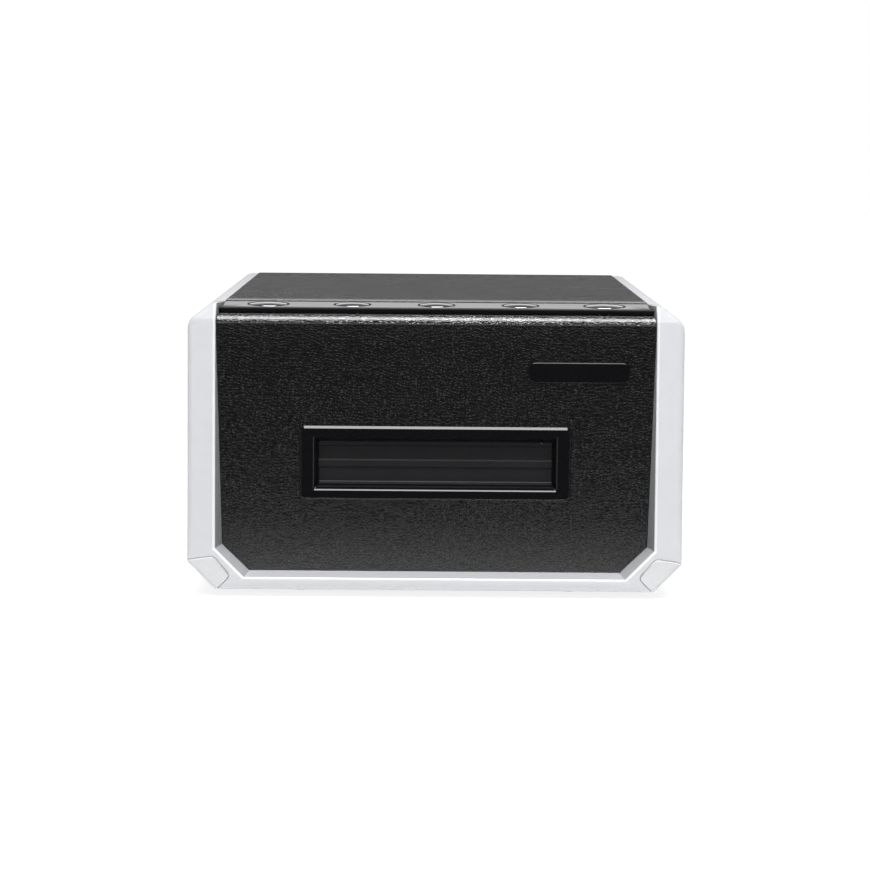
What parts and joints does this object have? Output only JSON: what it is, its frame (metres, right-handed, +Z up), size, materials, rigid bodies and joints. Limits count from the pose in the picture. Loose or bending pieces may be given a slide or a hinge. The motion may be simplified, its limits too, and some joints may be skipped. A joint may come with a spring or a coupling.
{
  "type": "film negative scanner",
  "caption": "Compact desktop film scanner: silver frame, black leatherette covers, chrome buttons and a flapped slot for a film holder that passes through.",
  "frame": {"origin": "centre of the footprint, on the table top", "axes": "+X to the right seen from the front, +Y to the rear so the front faces -Y, +Z up"},
  "size_m": [0.174, 0.259, 0.1035],
  "materials": {
    "silver_plastic": "satin silver-painted plastic",
    "bumper_plastic": "pale satin plastic",
    "black_plastic": "fine matt moulded plastic",
    "leatherette": "fine pebbled black leatherette",
    "gloss_black": "polished black plastic",
    "rubber": "matt black rubber",
    "steel": "bright steel",
    "sheet_steel": "zinc-plated sheet steel",
    "chrome": "polished chrome",
    "brass": "turned brass",
    "gear_plastic": "natural acetal plastic",
    "circuit_board": "green circuit board",
    "component_black": "moulded component bodies",
    "white_plastic": "white light-spreading plastic",
    "mirror": "silvered glass",
    "lens_glass": "coated optical glass",
    "cable": "flat ribbon cable"
  },
  "bodies": {
    "housing": {"front_surround": "silver_plastic", "left_side_shell": "silver_plastic", "right_side_shell": "silver_plastic", "corner_bumpers": "bumper_plastic", "base_pan": "black_plastic", "rubber_feet": "rubber", "top_cover": "black_plastic", "top_leatherette": "leatherette", "front_cover": "black_plastic", "front_leatherette": "leatherette", "button_strip": "gloss_black", "badge_plate": "gloss_black", "slot_bezel": "gloss_black", "rear_panel": "black_plastic", "rear_bezel": "gloss_black", "pivot_pins": "steel", "usb_socket": "sheet_steel", "power_inlet": "black_plastic", "screws": "steel", "chassis": "sheet_steel", "left_guide_rail": "black_plastic", "right_guide_rail": "black_plastic", "shaft_bushes": "brass", "gear_posts": "steel", "feed_motor": "sheet_steel", "lamp_housing": "black_plastic", "led_board": "circuit_board", "diffuser": "white_plastic", "optics_housing": "black_plastic", "scan_mirror": "mirror", "lens_barrel": "black_plastic", "lens": "lens_glass", "sensor_board": "circuit_board", "image_sensor": "component_black", "main_board": "circuit_board", "main_board_parts": "component_black", "button_board": "circuit_board", "tact_switches": "component_black", "ribbon_cables": "cable", "holder_sensors": "component_black"},
    "power_button": {"power_button": "chrome"},
    "load_button": {"load_button": "chrome"},
    "eject_button": {"eject_button": "chrome"},
    "quick_scan_button": {"quick_scan_button": "chrome"},
    "custom_scan_button": {"custom_scan_button": "chrome"},
    "front_flap": {"front_flap": "gloss_black", "front_flap_spring": "steel"},
    "rear_flap": {"rear_flap": "gloss_black", "rear_flap_spring": "steel"},
    "motor_pinion": {"motor_pinion": "brass"},
    "compound_gear": {"compound_gear": "gear_plastic"},
    "idler_gear": {"idler_gear": "gear_plastic"},
    "front_feed": {"front_feed_shaft": "gear_plastic", "front_feed_rollers": "rubber"},
    "rear_feed": {"rear_feed_shaft": "gear_plastic", "rear_feed_rollers": "rubber"},
    "pinch_frame": {"pinch_frame": "black_plastic", "pinch_spring": "steel"},
    "front_pinch_rollers": {"front_pinch_rollers": "rubber"},
    "rear_pinch_rollers": {"rear_pinch_rollers": "rubber"}
  },
  "joints": [
    {"name": "power_button_press", "type": "slide", "parent": "housing", "child": "power_button", "axis": [0, 0.0663, -0.9978], "range_m": [0, 0.001], "stiffness_N_per_m": 800, "springref_m": -0.0006},
    {"name": "load_button_press", "type": "slide", "parent": "housing", "child": "load_button", "axis": [0, 0.0663, -0.9978], "range_m": [0, 0.001], "stiffness_N_per_m": 800, "springref_m": -0.0006},
    {"name": "eject_button_press", "type": "slide", "parent": "housing", "child": "eject_button", "axis": [0, 0.0663, -0.9978], "range_m": [0, 0.001], "stiffness_N_per_m": 800, "springref_m": -0.0006},
    {"name": "quick_scan_button_press", "type": "slide", "parent": "housing", "child": "quick_scan_button", "axis": [0, 0.0663, -0.9978], "range_m": [0, 0.001], "stiffness_N_per_m": 800, "springref_m": -0.0006},
    {"name": "custom_scan_button_press", "type": "slide", "parent": "housing", "child": "custom_scan_button", "axis": [0, 0.0663, -0.9978], "range_m": [0, 0.001], "stiffness_N_per_m": 800, "springref_m": -0.0006},
    {"name": "front_flap_swing", "type": "hinge", "parent": "housing", "child": "front_flap", "pos_m": [0, -0.12045, 0.05389], "axis": [1, 0, 0], "range_deg": [0, 78], "stiffness_Nm_per_rad": 0.002, "springref_deg": -22.92},
    {"name": "rear_flap_swing", "type": "hinge", "parent": "housing", "child": "rear_flap", "pos_m": [0, 0.1241, 0.0535], "axis": [1, 0, 0], "range_deg": [0, 78], "stiffness_Nm_per_rad": 0.002, "springref_deg": -22.92},
    {"name": "rear_feed_spin", "type": "hinge", "parent": "housing", "child": "rear_feed", "pos_m": [0, 0.022, 0.0367], "axis": [1, 0, 0], "continuous": true},
    {"name": "front_feed_spin", "type": "hinge", "parent": "housing", "child": "front_feed", "pos_m": [0, -0.022, 0.0367], "axis": [1, 0, 0], "continuous": true},
    {"name": "idler_gear_spin", "type": "hinge", "parent": "housing", "child": "idler_gear", "pos_m": [0, 0, 0.0367], "axis": [1, 0, 0], "continuous": true},
    {"name": "compound_gear_spin", "type": "hinge", "parent": "housing", "child": "compound_gear", "pos_m": [0, 0.0394, 0.02859], "axis": [1, 0, 0], "continuous": true},
    {"name": "motor_pinion_spin", "type": "hinge", "parent": "housing", "child": "motor_pinion", "pos_m": [0, 0.05681, 0.02598], "axis": [1, 0, 0], "continuous": true},
    {"name": "pinch_frame_lift", "type": "hinge", "parent": "housing", "child": "pinch_frame", "pos_m": [0, -0.048, 0.062], "axis": [1, 0, 0], "range_deg": [0, 1.2], "stiffness_Nm_per_rad": 0.4, "springref_deg": -6.88},
    {"name": "front_pinch_spin", "type": "hinge", "parent": "pinch_frame", "child": "front_pinch_rollers", "pos_m": [0, -0.022, 0.0542], "axis": [1, 0, 0], "continuous": true},
    {"name": "rear_pinch_spin", "type": "hinge", "parent": "pinch_frame", "child": "rear_pinch_rollers", "pos_m": [0, 0.022, 0.0542], "axis": [1, 0, 0], "continuous": true}
  ],
  "couplings": [
    {"joint": "front_feed_spin", "follows": "rear_feed_spin", "ratio": 1},
    {"joint": "idler_gear_spin", "follows": "rear_feed_spin", "ratio": -1.2},
    {"joint": "compound_gear_spin", "follows": "rear_feed_spin", "ratio": -1.6667},
    {"joint": "motor_pinion_spin", "follows": "rear_feed_spin", "ratio": 4.4444}
  ]
}
